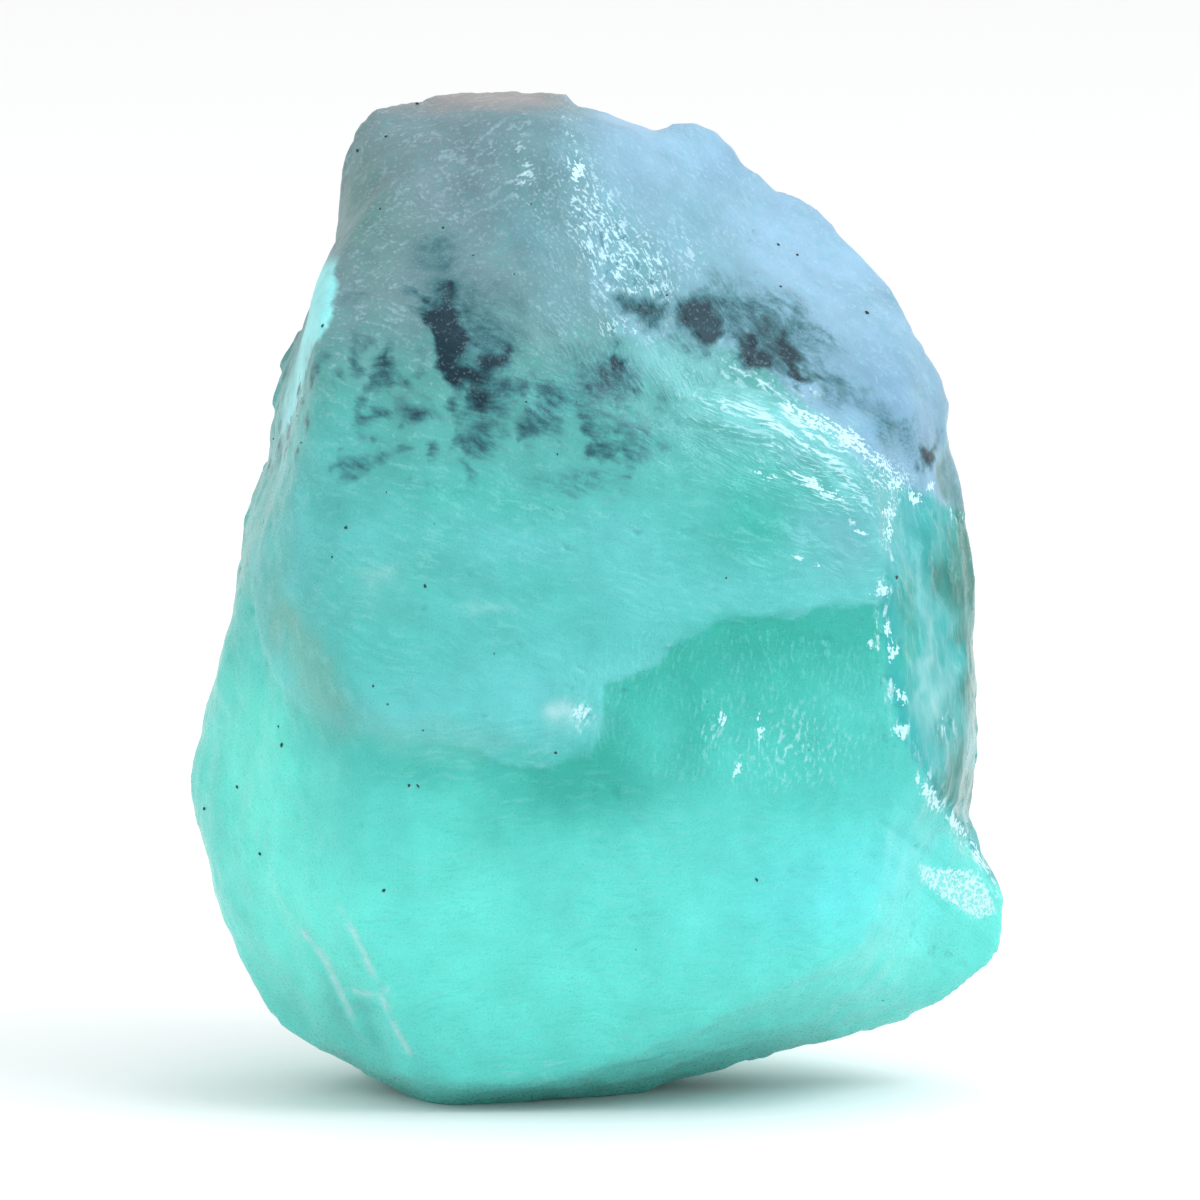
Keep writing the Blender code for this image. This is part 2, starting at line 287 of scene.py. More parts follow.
def rim_distance(rays):
    """Distance along each ray to the rim, whose outline softens away from its edge."""
    angle = np.degrees(np.arctan2(rays[:, 1], rays[:, 0]))
    across = np.hypot(rays[:, 0], rays[:, 1])
    toward = rays[:, 2]
    corners = np.array(OUTLINE)
    corner_angles = np.degrees(np.arctan2(corners[:, 1], corners[:, 0]))
    corner_radii = np.hypot(corners[:, 0], corners[:, 1]) + RIM_WEAR
    crisp = np.interp(angle, corner_angles, corner_radii, period=360)
    around = [angle + turn for turn in np.linspace(-RIM_BLUR, RIM_BLUR, 9)]
    soft = np.mean([np.interp(each, corner_angles, corner_radii, period=360) for each in around], axis=0)
    stations = np.array(RIM)
    level, front, back = (
        np.interp(angle, stations[:, 0], stations[:, column], period=360) for column in (1, 2, 3)
    )
    ahead = np.maximum(across + front * toward, GRAZING)
    behind = np.maximum(across - back * toward, GRAZING)
    distance = crisp
    for _ in range(6):
        away = np.clip(np.abs(distance * toward - level) / RIM_FADE, 0.0, 1.0)
        radius = crisp + (soft - crisp) * away
        distance = np.minimum((radius + front * level) / ahead, (radius - back * level) / behind)
    return distance


def nearest(hits, sharpness):
    """The first of several hits on each ray, with the edges between them rounded."""
    hits = np.array(hits)
    first = hits.min(axis=0)
    return first - np.log(np.exp(-sharpness * (hits - first)).sum(axis=0)) / sharpness


def stone_distance(rays):
    """Distance from the core to the stone's surface along each ray."""
    hits = [nearest([front_distance(rays, facet) for facet in WORN_FRONT], WORN)]
    hits += [front_distance(rays, facet) for facet in CRISP_FRONT]
    hits += [facet_distance(rays, point, direction) for point, direction in SIDE_FACETS]
    hits += [hollow_distance(rays, centre, radius) for centre, radius in HOLLOWS]
    hits.append(rim_distance(rays))
    return nearest(hits, CRISP)


def weathering(ray, distance):
    """Low swells and dents of a broken surface, in millimetres."""
    place = Vector(ray) * distance
    swell = noise.fractal(place / SWELL_BREADTH, 1.0, 2.0, 2)
    dent = noise.fractal(place / DENT_BREADTH + Vector((7.0, 0.0, 0.0)), 0.9, 2.1, 3)
    return SWELL_HEIGHT * swell + DENT_HEIGHT * dent


RANDOM = np.random.default_rng(SHUFFLE_SEED)
SHUFFLED = RANDOM.permutation(256)
SLOPES = RANDOM.normal(size=(256, 3))
SLOPES /= np.linalg.norm(SLOPES, axis=1, keepdims=True)


def ripple_noise(places, breadth, seed=0):
    """Smooth noise between about -1 and 1, its bumps about as broad as the breadth."""
    places = places / breadth + seed * 17.3
    cell = np.floor(places).astype(int)
    within = places - cell
    fade = within**3 * (within * (within * 6.0 - 15.0) + 10.0)
    total = np.zeros(len(places))
    for corner in product((0, 1), repeat=3):
        lattice = (cell + corner) & 255
        row = SHUFFLED[(SHUFFLED[lattice[:, 0]] + lattice[:, 1]) & 255]
        index = SHUFFLED[(row + lattice[:, 2]) & 255]
        slope = ((within - corner) * SLOPES[index]).sum(axis=1)
        total += slope * np.where(corner, fade, 1.0 - fade).prod(axis=1)
    return total * 1.6


def layered(places, breadth, layers, seed=0):
    """Noise of several breadths, each half as broad and half as strong as the last."""
    return sum(ripple_noise(places, breadth / 2**each, seed + each) / 2**each for each in range(layers))


def warp(places, breadth, layers, seed):
    """Noise in all three directions."""
    return np.stack([layered(places, breadth, layers, seed + axis) for axis in range(3)], axis=1)


def ramp(values, low, high):
    """Zero below low, one above high, and smooth between them."""
    part = np.clip((values - low) / (high - low), 0.0, 1.0)
    return part * part * (3.0 - 2.0 * part)


def line_distance(places, line):
    """How far each place is from a line of points on the front."""
    best = np.full(len(places), np.inf)
    for start, end in zip(line[:-1], line[1:]):
        along = np.subtract(end, start)
        offset = places[:, :2] - start
        part = np.clip(offset @ along / (along @ along), 0.0, 1.0)
        best = np.minimum(best, np.linalg.norm(offset - part[:, None] * along, axis=1))
    return best


def inside_outline(places, outline):
    """Whether each place lies inside a closed outline on the front."""
    inside = np.zeros(len(places), bool)
    for (right, up), (next_right, next_up) in zip(outline, outline[1:] + outline[:1]):
        between = (places[:, 1] < up) != (places[:, 1] < next_up)
        rise = next_up - up if next_up != up else GRAZING
        meets = right + (places[:, 1] - up) * (next_right - right) / rise
        inside ^= between & (places[:, 0] < meets)
    return inside


def left_of(line):
    """A closed outline round everything on a line's left."""
    first, second, last_but_one, last = (np.array(line[each]) for each in (0, 1, -2, -1))
    start = first + (first - second) / np.linalg.norm(first - second) * FAR
    end = last + (last - last_but_one) / np.linalg.norm(last - last_but_one) * FAR
    across = (end - start) / np.linalg.norm(end - start)
    left = np.array((-across[1], across[0])) * FAR * 3.0
    return [tuple(start), *line, tuple(end), tuple(end + left), tuple(start + left)]


def line_side(places, line):
    """Distance to a line on the front, negative on the line's right."""
    distance = line_distance(places, line)
    return np.where(inside_outline(places, left_of(line)), distance, -distance)


def outline_depth(places, outline):
    """Distance to a closed outline on the front, positive inside it."""
    distance = line_distance(places, outline + outline[:1])
    return np.where(inside_outline(places, list(outline)), distance, -distance)


def turned(places, degrees):
    """How far each place is along a direction on the front, and across it."""
    turn = np.radians(degrees)
    right, up = places[:, 0], places[:, 1]
    return right * np.cos(turn) + up * np.sin(turn), up * np.cos(turn) - right * np.sin(turn)


def spot(places, right, up, half_width, half_height, tilt=0.0):
    """One at the middle of a tilted oval on the front, and fading to zero past its edge."""
    across, along = turned(places[:, :2] - (right, up), tilt)
    return np.exp(-((across / half_width) ** 2 + (along / half_height) ** 2))


def strongest(places, ovals):
    """The strongest of several ovals at each place, each with its amount."""
    return np.max([amount * spot(places, *oval) for *oval, amount in ovals], axis=0)


def front_share(places):
    """One on the front of the stone, and zero behind its rim."""
    return ramp(places[:, 2], -1.0, 2.5)


def splinter_share(places):
    """How splintered the surface is at each place."""
    share = strongest(places, SPLINTERS)
    broken = ramp(layered(places, 1.6, 2, 43), -0.45, 0.35)
    for line, half_width, amount in SPLINTERED_LINES:
        band = np.exp(-(line_distance(places, line) / half_width) ** 2)
        share = np.maximum(share, amount * band * broken)
    return share * front_share(places)


def slab_rise(places):
    """The slab stands a little above the green stone below and to the right of its edge."""
    wobble = 0.25 * layered(places, 1.6, 3, 5)
    side = line_side(places, SLAB_EDGE) + wobble
    left_part = ramp(places[:, 0], -6.0, -12.0)
    rise = SLAB_RISE - 0.10 * left_part
    fade = np.exp(-np.maximum(side, 0.0) / 9.0) * ramp(places[:, 0], 19.5, 15.5)
    return rise * ramp(side, -0.22, 0.35) * fade * front_share(places)


def recess_drop(places):
    """A shallow scooped place below the slab's right half."""
    scoop = spot(places, 10.0, -4.0, 6.5, 3.6, 12.0) + 0.7 * spot(places, 1.6, -11.0, 5.0, 2.2, -8.0)
    return -SCOOP_DEPTH * scoop * front_share(places)


def flow_share(places):
    """The glassy rippled fracture below the right ridge."""
    side = line_side(places, FLOW_RIDGE)
    below = ramp(side, 0.3, -0.6) * ramp(side, -9.0, -3.0)
    return below * ramp(places[:, 0], 2.0, 8.0) * ramp(places[:, 0], 19.5, 17.0) * front_share(places)


def flow_phase(places):
    """How far through its wave a ripple is, counted from the fracture's lower left."""
    reach = np.hypot(places[:, 0] - FLOW_CENTRE[0], places[:, 1] - FLOW_CENTRE[1])
    return (reach + 0.9 * layered(places, 4.5, 2, 21)) * 2.0 * math.pi / RIPPLE_LENGTH


def flow_ripples(places):
    """Curved ripples on the glassy fracture."""
    wave = np.sin(flow_phase(places))
    strength = ramp(layered(places, 3.0, 2, 23), -0.5, 0.6)
    return RIPPLE_HEIGHT * wave * strength * flow_share(places)


def terraces(places):
    """Low steps of broken layers, mostly on the sides and the back."""
    amount = 0.10 + 0.90 * (1.0 - front_share(places))
    height = 2.2 * layered(places, 9.0, 3, 31)
    level = np.floor(height)
    part = ramp(height - level, 0.42, 0.58)
    return TERRACE_HEIGHT * amount * (level + part - height)


def shell_ripples(places):
    """Rings of ripples in each hollow, round its middle."""
    total = np.zeros(len(places))
    for centre, radius in HOLLOWS:
        offset = places - centre
        depth = np.abs(np.linalg.norm(offset, axis=1) - radius)
        inward = -np.array(centre) / np.linalg.norm(centre)
        angle = np.arccos(np.clip(offset @ inward / np.linalg.norm(offset, axis=1), -1.0, 1.0))
        reach = angle * radius + 0.5 * layered(places, 5.0, 2, 37)
        total += ramp(depth, 1.0, 0.3) * np.sin(reach * 2.0 * math.pi / HOLLOW_RIPPLE_LENGTH)
    return HOLLOW_RIPPLE_HEIGHT * total


def flaw_grooves(places):
    """Fine cracks that reach the surface at the lower left."""
    depth = np.zeros(len(places))
    for line in FLAW_LINES:
        depth = np.maximum(depth, np.exp(-(line_distance(places, line) / CRACK_GROOVE) ** 2))
    return -CRACK_DEPTH * depth * front_share(places)


def seed_search(seeds):
    """A search tree over some seeds."""
    tree = kdtree.KDTree(len(seeds))
    for number, seed in enumerate(seeds):
        tree.insert(seed, number)
    tree.balance()
    return tree


def chips(places, share):
    """Small chips where the surface is splintered, each with its own tilt and drop."""
    chooser = np.random.default_rng(5)
    inside = np.nonzero(share > 0.10)[0]
    seeds = places[chooser.choice(inside, size=len(inside) // CHIP_POINTS, replace=False)]
    tilts = chooser.normal(size=(len(seeds), 3)) * 0.30
    drops = chooser.uniform(-0.05, 0.05, size=len(seeds))
    tree = seed_search(seeds)
    found = np.array([tree.find(place)[1] for place in places[inside]])
    height = ((places[inside] - seeds[found]) * tilts[found]).sum(axis=1) + drops[found] - 0.03
    result = np.zeros(len(places))
    result[inside] = np.clip(height, -0.16, 0.08) * ramp(share[inside], 0.10, 0.75)
    return result


def scalloped_breaks(places):
    """Shallow bowls a few millimetres across that meet in fine creases."""
    chooser = np.random.default_rng(9)
    seeds = places[chooser.choice(len(places), size=BREAK_COUNT, replace=False)]
    tree = seed_search(seeds)
    reach = np.array([tree.find(place)[2] for place in places + 0.55 * warp(places, 2.4, 3, 80)])
    bowl = np.minimum((reach / BREAK_BREADTH) ** 2, 1.6)
    return BREAK_DEPTH * bowl * (0.30 + 0.70 * ramp(layered(places, 12.0, 2, 87), -0.3, 0.3))


def fine_relief(places):
    """Everything that is added to the large shape, in millimetres outward."""
    relief = slab_rise(places) + recess_drop(places) + flow_ripples(places) + terraces(places)
    relief += shell_ripples(places) + flaw_grooves(places)
    relief += chips(places, splinter_share(places)) + scalloped_breaks(places)
    relief += ROUGHNESS_HEIGHT * layered(places, 1.3, 3, 41)
    relief -= PIT_DEPTH * ramp(ripple_noise(places, 0.9, 47), 0.62, 0.95)
    return relief


def fine_ball():
    """A ball of small triangles."""
    ball = bmesh.new()
    bmesh.ops.create_icosphere(ball, subdivisions=SPHERE_SUBDIVISIONS, radius=1.0)
    mesh = bpy.data.meshes.new("rough_fluorite")
    ball.to_mesh(mesh)
    ball.free()
    return mesh


def mesh_points(mesh):
    """The points of a mesh as one array."""
    points = np.empty(len(mesh.vertices) * 3, np.float32)
    mesh.vertices.foreach_get("co", points)
    return points.reshape(-1, 3).astype(float)


def front_rays(mesh):
    """The ball's directions as right, up and toward, closer together at the front."""
    rays = mesh_points(mesh)[:, (0, 2, 1)] * (1.0, 1.0, -1.0)
    rays /= np.linalg.norm(rays, axis=1, keepdims=True)
    angle = np.arccos(np.clip(rays[:, 2], -1.0, 1.0))
    drawn = angle - FRONT_DENSITY * np.sin(angle)
    across = np.maximum(np.hypot(rays[:, 0], rays[:, 1]), 1e-9)
    rays[:, 0] *= np.sin(drawn) / across
    rays[:, 1] *= np.sin(drawn) / across
    rays[:, 2] = np.cos(drawn)
    return rays


def stand_up(places):
    """Places seen from the front as metres from the core, along the frame's own axes."""
    upright = places[:, (0, 2, 1)] * (1.0, -1.0, 1.0) * MM
    return upright @ np.array(Matrix.Rotation(-LEAN_BACK, 3, "X")).T


def lie_back(points, core):
    """The places, seen from the front, of points in the frame."""
    upright = (points - np.array(core)) @ np.array(Matrix.Rotation(-LEAN_BACK, 3, "X")) / MM
    return upright[:, (0, 2, 1)] * (1.0, 1.0, -1.0)


def shape_lump(mesh):
    """Moves the ball's points out to the stone's surface, with its fine relief."""
    rays = front_rays(mesh)
    distances = stone_distance(rays)
    distances += [weathering(ray, reach) for ray, reach in zip(rays, distances)]
    places = rays * distances[:, None]
    places += rays * fine_relief(places)[:, None]
    mesh.vertices.foreach_set("co", stand_up(places).astype(np.float32).ravel())
    mesh.update()


def thin_faces(mesh):
    """A copy of a mesh with fewer triangles where it is flat."""
    lump = bpy.data.objects.new("lump", mesh)
    bpy.context.scene.collection.objects.link(lump)
    decimate = lump.modifiers.new("decimate", "DECIMATE")
    decimate.ratio = FACE_COUNT / len(mesh.polygons)
    decimate.use_collapse_triangulate = True
    thinned = bpy.data.meshes.new_from_object(lump.evaluated_get(bpy.context.evaluated_depsgraph_get()))
    bpy.data.objects.remove(lump)
    return thinned


def cut_base(mesh):
    """Cuts the lump flat at the level that it stands on, and closes the cut."""
    stone = bmesh.new()
    stone.from_mesh(mesh)
    everything = stone.verts[:] + stone.edges[:] + stone.faces[:]
    level = Vector((0.0, 0.0, BASE_LEVEL * MM))
    bmesh.ops.bisect_plane(stone, geom=everything, plane_co=level, plane_no=(0, 0, -1), clear_outer=True)
    for vertex in stone.verts:
        if abs(vertex.co.z - level.z) < SMALLEST_EDGE * MM / 2.0:
            vertex.co.z = level.z
    bmesh.ops.dissolve_degenerate(stone, dist=SMALLEST_EDGE * MM, edges=stone.edges[:])
    open_edges = [edge for edge in stone.edges if edge.is_boundary]
    bmesh.ops.edgeloop_fill(stone, edges=open_edges)
    bmesh.ops.triangulate(stone, faces=[face for face in stone.faces if len(face.verts) > 4])
    bmesh.ops.recalc_face_normals(stone, faces=stone.faces[:])
    stone.to_mesh(mesh)
    stone.free()


def set_down(mesh):
    """Moves the mesh into the CAD box, standing on its bottom, and returns the core's place."""
    low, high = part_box("fluorite")
    points = mesh_points(mesh)
    middle = (points.min(axis=0) + points.max(axis=0)) / 2.0
    centre = (low + high) / 2.0
    core = Vector((centre.x - middle[0], centre.y - middle[1], low.z - BASE_LEVEL * MM))
    mesh.transform(Matrix.Translation(core))
    return core


def write_field(mesh, name, values):
    """Keeps three numbers for each point of the mesh, for its material to read."""
    made = mesh.attributes.new(name, "FLOAT_VECTOR", "POINT")
    made.data.foreach_set("vector", values.astype(np.float32).ravel())


def edge_share(mesh, points):
    """How sharply the surface bends outward at each point."""
    ends = np.empty(len(mesh.edges) * 2, np.int32)
    mesh.edges.foreach_get("vertices", ends)
    first, second = ends.reshape(-1, 2).T
    normals = np.array([normal.vector for normal in mesh.vertex_normals])
    count = np.bincount(first, minlength=len(points)) + np.bincount(second, minlength=len(points))

    def average(values):
        total = np.bincount(first, values[second], len(points))
        return (total + np.bincount(second, values[first], len(points))) / count

    pull = np.stack([average(points[:, axis]) for axis in range(3)], axis=1) - points
    length = average(np.zeros(len(points))) + np.bincount(
        np.concatenate([first, second]),
        np.tile(np.linalg.norm(points[first] - points[second], axis=1), 2),
        len(points),
    ) / count
    bend = -(pull * normals).sum(axis=1) / np.maximum(length, 1e-6) ** 2
    for _ in range(3):
        bend = (bend + average(bend)) / 2.0
    return bend / 1000.0


def linear(red, green, blue):
    """A colour given as eight-bit screen values."""
    parts = [value / 255.0 for value in (red, green, blue)]
    return tuple(((part + 0.055) / 1.055) ** 2.4 if part > 0.04045 else part / 12.92 for part in parts)


# Colours of the stone, as screen values; some carry painted glow, sheen, reflection, highlights and shade,
# as noted at each
# Bright mint at the bottom: the stone's green with a painted glow of light passing through from below
GLOWING_BOTTOM = linear(104, 230, 218)
LOWER = linear(84, 200, 190)
MIDDLE = linear(80, 192, 184)
UPPER = linear(88, 178, 172)
SHOULDER = linear(90, 162, 158)
CAP = linear(110, 134, 142)
CAP_GREEN = linear(98, 136, 132)
# Pinkish brown along the top edge: a painted reflection of something brown beside the stone
CROWN_REFLECTION = linear(164, 142, 136)
# Light blue of the top right facet: a painted sheen of bluish light from above
FACET_SKY_SHEEN = linear(142, 180, 206)
FACET_LOW = linear(112, 154, 182)
FACET_TEAL = linear(104, 156, 166)
SLAB = linear(92, 190, 186)
MILK = linear(106, 202, 204)
GREY_GREEN = linear(116, 182, 170)
DEEP = linear(50, 172, 156)
# Bright mint near the thin left edge and the bottom: the stone's green with a painted glow of light passing
# through
MINT_GLOW = linear(112, 244, 226)
LILAC = linear(116, 180, 192)
# Pale silky tint on the rippled fracture: a painted sheen of light off the ripples
SILK_SHEEN = linear(138, 214, 218)
# Near white cyan of glints: the colour of painted highlights
HIGHLIGHT_WHITE = linear(206, 242, 250)
VEIL = linear(132, 214, 208)
PALE = linear(158, 196, 208)
# Right side colours: the stone's teal and green, darkened with painted shade where the side turns away
RIGHT_WALL_SHADED = linear(58, 170, 170)
RIGHT_DARK_SHADED = linear(26, 104, 88)
# Pale cyan of the thin left edge: a painted glow of light shining through it
SLIVER_GLOW = linear(150, 234, 236)
AQUA = linear(102, 232, 238)
SMOKE_COLOUR = linear(6, 34, 48)
SMOKE_SOFT = linear(44, 98, 106)
FROST = linear(206, 240, 244)
PASSED_LIGHT = linear(158, 238, 232)

# How fluorite handles light, and the depth of its finest relief
FLUORITE_IOR = 1.434
GLOSS_TINT = (0.60, 0.92, 1.0)
SCATTER_SHARE = 0.10
SCATTER_REACH = (0.45, 1.0, 0.95)
SCATTER_DEPTH = 3.0
ABSORPTION_DENSITY = 22.0
BUMP_DEPTH = 0.09

# The body's colours by height in millimetres; the bright mint at the bottom is a painted glow of light
# passing through from below
BODY_LEVELS = (
    (-27, GLOWING_BOTTOM),
    (-18, GLOWING_BOTTOM),
    (-10, LOWER),
    (0, MIDDLE),
    (9, UPPER),
    (16, SHOULDER),
    (23, CAP),
)

# Soft patches of colour on the front, some of them painted glow, sheen and shade: right, up, half width,
# half height, tilt in degrees, amount
PATCHES = (
    (CAP_GREEN, ((-12.9, 24, 1.8, 5, 4, 0.9), (-10, 22, 2.4, 1.8, 0, 0.4))),
    (FACET_TEAL, (
        (3.2, 20, 2.6, 5.6, 24, 0.9), (7.6, 20.4, 2.6, 3.6, 20, 0.55), (6, 24.2, 2, 1.6, 0, 0.4),
        (-3.2, 22.4, 3, 2.8, -20, 0.75), (-1.6, 18.4, 1.8, 1.6, 0, 0.5), (-2, 27, 2.2, 3.2, 10, 0.45),
    )),
    (FACET_LOW, (
        (17.2, 12.2, 4.2, 3.2, -40, 0.9), (8, 26.6, 2.2, 1.6, 0, 0.4), (2, 26.4, 1.4, 1.4, 0, 0.25),
    )),
    (SLAB, ((-7, 3, 9, 4, -10, 0.5), (-15, 9.8, 2.6, 2.6, 0, 0.75))),
    (AQUA, ((15, -16, 6, 4, 20, 0.6),)),
    (MILK, (
        (-3.4, -4.6, 3.8, 2.6, 0, 0.9), (-9.6, -5.4, 3, 1.8, -12, 0.5), (-4, 4, 3, 1.4, -20, 0.6),
        (2, 4.6, 2.4, 1.2, -16, 0.6), (-13.6, 4.4, 2.2, 1.2, 0, 0.45), (3.4, 1.6, 3.6, 1.8, 0, 0.5),
        (-16.8, 5.6, 1.2, 4.6, 4, 0.5), (-1.6, 12.6, 1.4, 0.7, -15, 0.3), (7.6, 0.9, 2.6, 1, 0, 0.45),
    )),
    (FROST, (
        (-0.9, -5.9, 0.9, 0.8, 20, 0.55), (-12, 2.6, 1, 0.4, -10, 0.2), (-5.9, 0.6, 1.2, 0.3, -8, 0.2),
    )),
    (GREY_GREEN, (
        (-17.2, -1.2, 1.2, 4, 28, 0.9), (-15, -4.6, 2, 1.4, -35, 0.9), (-12.6, 1.6, 2.4, 1.6, 0, 0.25),
        (-11.4, -7, 4.4, 1.2, -14, 0.35), (-6.6, -7.2, 3, 0.8, -14, 0.35),
    )),
    # Deeper green, mostly in the recess below the slab: partly the stone's green, partly painted shade
    (DEEP, (
        (9.9, 5.6, 2.2, 2.1, 20, 0.75), (11.2, -1.1, 4, 1.1, 2, 0.9), (6.3, -5.4, 1.2, 3.8, 0, 0.75),
        (10.6, -4.2, 5.6, 3.4, 10, 0.55), (-0.6, -9.4, 4.6, 1.5, -4, 0.75), (-9.4, -8.8, 3.4, 1, -8, 0.45),
        (-6, -12.4, 3.6, 1.6, 10, 0.3), (14, -9.6, 4.4, 3.6, 0, 0.3), (-6.6, 7, 3.6, 1, -14, 0.3),
        (-2, 1.6, 2.4, 0.9, -10, 0.25), (18.8, -1.6, 0.5, 2.2, 0, 0.7),
    )),
    (LILAC, (
        (15.4, 4.2, 2.8, 2.4, -20, 0.7), (17.4, 7, 1.8, 1.6, 0, 0.5), (12.2, 9.2, 1.6, 0.8, -20, 0.3),
    )),
    # Painted sheen on the rippled fracture below the right ridge
    (SILK_SHEEN, (
        (10.4, 11.8, 3.2, 1, -14, 0.42), (6.6, 13, 2.6, 0.8, -16, 0.3), (14.6, 9.8, 2.6, 0.9, -32, 0.42),
        (3.6, 14.6, 2, 1.4, -36, 0.4),
    )),
    # Painted glow of light passing through the thin left edge and the bottom
    (MINT_GLOW, (
        (-19.4, -10.4, 3.6, 7, 16, 0.9), (-16.4, -18, 4, 6, 24, 0.8), (-7, -17, 3.4, 5.6, 0, 0.4),
        (-2, -22, 6, 3, 0, 0.3), (-18.6, -6.6, 1.4, 3.6, 30, 0.7), (12, -21.6, 9, 2.4, 14, 0.35),
    )),
    # Darker green near the right contour: partly the stone's green, partly painted shade of the side that
    # turns away
    (RIGHT_DARK_SHADED, (
        (22.3, 3.4, 0.7, 5.6, 8, 0.9), (21.4, 2.2, 0.9, 1.9, 24, 0.85), (22.8, -3.6, 0.7, 4, 0, 0.8),
        (21.9, -9.8, 0.8, 2.6, 4, 0.85), (18.9, 0.4, 0.35, 1.9, -8, 0.35), (21.3, 8, 0.5, 1.5, 10, 0.6),
    )),
    (FROST, (
        (20, -2.4, 0.35, 3.6, -6, 0.3), (20.9, -5, 0.8, 1.6, -10, 0.3), (19.6, 2.2, 0.3, 2.2, 8, 0.22),
    )),
)

# The same on the back
BACK_PATCHES = (
    (MILK, (
        (-4, 6, 7, 2, -24, 0.6), (9, -6, 6, 1.6, 18, 0.6), (-10, -12, 4, 1.4, -30, 0.5),
    )),
    (DEEP, (
        (4, 12, 6, 2.6, 20, 0.6), (-9, -4, 5, 3.2, -12, 0.6), (13, -12, 3, 4, 10, 0.5),
    )),
    (GREY_GREEN, ((12, 4, 3.2, 7, 12, 0.6), (-15, 2, 2.4, 5, -8, 0.5))),
    # Painted glow of light through the bottom
    (MINT_GLOW, ((0, -18, 14, 4, 6, 0.7),)),
    # Painted sheen on the back
    (SILK_SHEEN, ((-12, 14, 2.6, 6, 20, 0.6), (0, 22, 5, 2, -14, 0.4))),
    (SMOKE_SOFT, (
        (-6, 17, 3, 1.6, -30, 0.6), (7, 16, 2.4, 1.4, 24, 0.55), (1, -9, 3, 0.8, 10, 0.3),
    )),
)


def zone_sides(places):
    """Uneven distances to the lines that bound the front's zones."""
    wobble = 0.20 * layered(places, 1.3, 3, 101)
    lines = (CAP_RIDGE, FLOW_RIDGE, SLAB_EDGE, RIGHT_RIDGE[::-1], SLIVER_LINE)
    return [line_side(places, line) + wobble for line in lines]


def drawn_out(places, degrees, along, across):
    """The places turned and squeezed, so that noise on them runs in bands on the front."""
    ahead, aside = turned(places, degrees)
    return np.stack([ahead / along, aside / across, places[:, 2] / across], axis=1)


def body_layers(places, sides):
    """The tints that lie over the body's colours by height, in order, each with its share; some are painted
    glow, sheen, reflection and shade.
    """
    right, up, toward = places.T
    cap, flow, slab, wall, sliver = sides
    mottle = layered(places, 2.6, 3, 78)
    front = ramp(toward + 1.5 * layered(places, 5.0, 2, 79), -9.0, 1.0)
    on_cap = ramp(cap + 0.5 * mottle, -0.5, 0.7) * ramp(up + 1.5 * mottle, 12.0, 20.0)
    reach = 1.0 + 2.4 * ramp(up, 20.0, 27.0)
    beside = ramp((cap + 0.9 * mottle) / reach, 0.5, -0.9)
    above = ramp(flow + 0.5 * mottle, -0.35, 0.5)
    in_slab = ramp(slab, -0.10, 0.14) * ramp(up, 9.0, 3.0) * ramp(wall, 0.3, -0.3) * front
    near_edge = ramp(slab, 3.2, 0.2)
    under = ramp(slab, 0.06, -0.12) * ramp(slab, -6.0, -0.4) * ramp(right, -10.0, 0.0)
    on_right = ramp(wall, -0.2, 0.25) * ramp(flow, 0.4, -0.2)
    zones = [
        (CAP, 0.8 * on_cap * front),
        # The top right facet's painted bluish sheen
        (FACET_SKY_SHEEN, beside * above * front),
        (SLAB, 0.60 * in_slab),
        (MILK, 0.55 * in_slab * near_edge),
        # Deeper green just under the slab's edge: partly the stone's green, partly painted shade of the
        # recess
        (DEEP, 0.9 * under * ramp(wall, 0.3, -0.6) * front),
        # The right side that turns away, darkened with painted shade
        (RIGHT_WALL_SHADED, on_right * ramp(toward, -6.0, -2.0)),
    ]
    warped = places + 0.9 * warp(places, 2.8, 3, 74)
    for patches, share in ((PATCHES, front), (BACK_PATCHES, 1.0 - front)):
        for tint, ovals in patches:
            zones += [(tint, amount * spot(warped, *oval) * share) for *oval, amount in ovals]
    # Where light shining through the thin left edge is painted as a glow
    sliver_glow = ramp(sliver, 0.0, 0.2) * ramp(up, 8.5, 10.5) * ramp(right, -12.0, -14.0)
    shades = np.max([spot(places, *oval) for oval in FLAW_SHADES], axis=0)
    return zones + [
        # Painted glow of light through the thin left edge
        (SLIVER_GLOW, sliver_glow * ramp(up, 21.5, 20.0) * ramp(toward + 1.5 * mottle, 2.0, 7.5)),
        # Painted reflection of something brown along the top edge
        (CROWN_REFLECTION, 0.70 * ramp(up + 0.4 * mottle, 29.2, 30.8) * ramp(right, 1.0, -3.0)),
        (SMOKE_SOFT, 0.30 * shades * ramp(mottle, -0.8, 0.1) * front),
        (FROST, 0.6 * flaw_share(places)),
    ]


def body_colours(places, sides):
    """The stone's soft colours at each place, with painted glow, sheen, reflection and shade, but without
    its streaks, smoke and frost.
    """
    up = places[:, 1]
    levels, tints = zip(*BODY_LEVELS)
    height = up + 2.0 * layered(places, 15.0, 2, 71)
    colours = np.stack([np.interp(height, levels, channel) for channel in zip(*tints)], axis=1)
    for tint, share in body_layers(places, sides):
        colours += (np.array(tint) - colours) * np.clip(share, 0.0, 1.0)[:, None]
    bands = layered(drawn_out(places, -14.0, 5.0, 1.7), 1.0, 4, 111) * ramp(up, -6.0, 2.0)
    bands += layered(drawn_out(places, 82.0, 6.0, 2.2), 1.0, 3, 113) * ramp(up, 2.0, -6.0)
    upper = ramp(up, 4.0, 12.0)
    light = 1.0 + (0.055 + 0.035 * upper) * bands + (0.05 + 0.05 * upper) * layered(places, 3.2, 4, 115)
    return colours * (light + 0.04 * layered(places, 2.6, 3, 78))[:, None]


